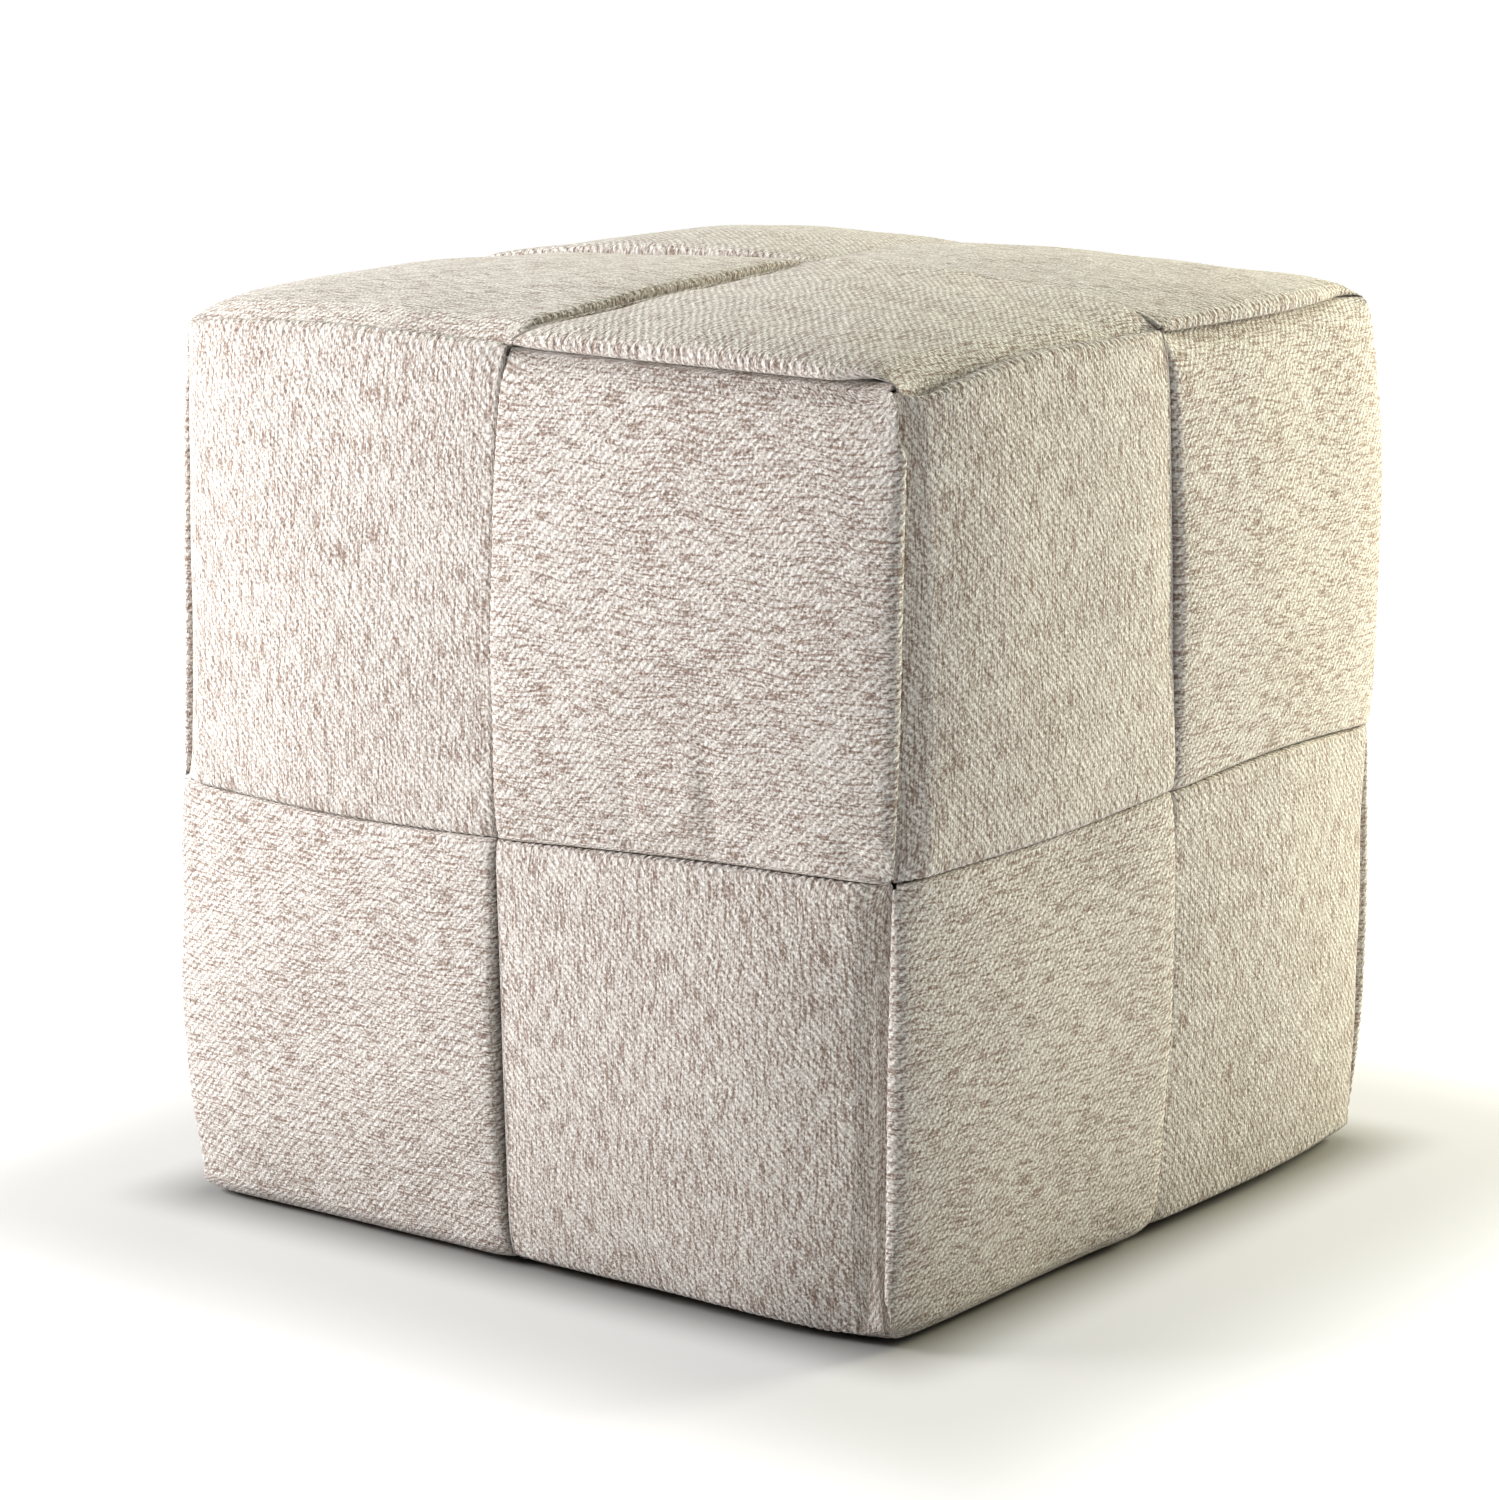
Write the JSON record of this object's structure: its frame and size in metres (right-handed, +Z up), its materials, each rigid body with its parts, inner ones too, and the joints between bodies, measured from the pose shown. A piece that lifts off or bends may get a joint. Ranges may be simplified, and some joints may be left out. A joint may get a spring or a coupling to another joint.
{
  "type": "cube pouf stool",
  "caption": "Low cube pouf stool: a filled cube wrapped in wide padded cloth bands woven over and under each other, with rolled free edges.",
  "frame": {"origin": "middle of the underside, on the surface that the stool stands on", "axes": "+Z up, front towards -Y, +X towards the stool's right as the front is looked at"},
  "size_m": [0.4072, 0.4126, 0.4203],
  "materials": {
    "band_cloth": "soft ribbed chenille, ivory with taupe flecks, ribs across each band",
    "body_cloth": "plain matt cloth"
  },
  "bodies": {
    "root": {"filled_body": "body_cloth", "band_left": "band_cloth", "band_right": "band_cloth", "band_front": "band_cloth", "band_back": "band_cloth", "band_upper": "band_cloth", "band_lower": "band_cloth"}
  },
  "joints": []
}
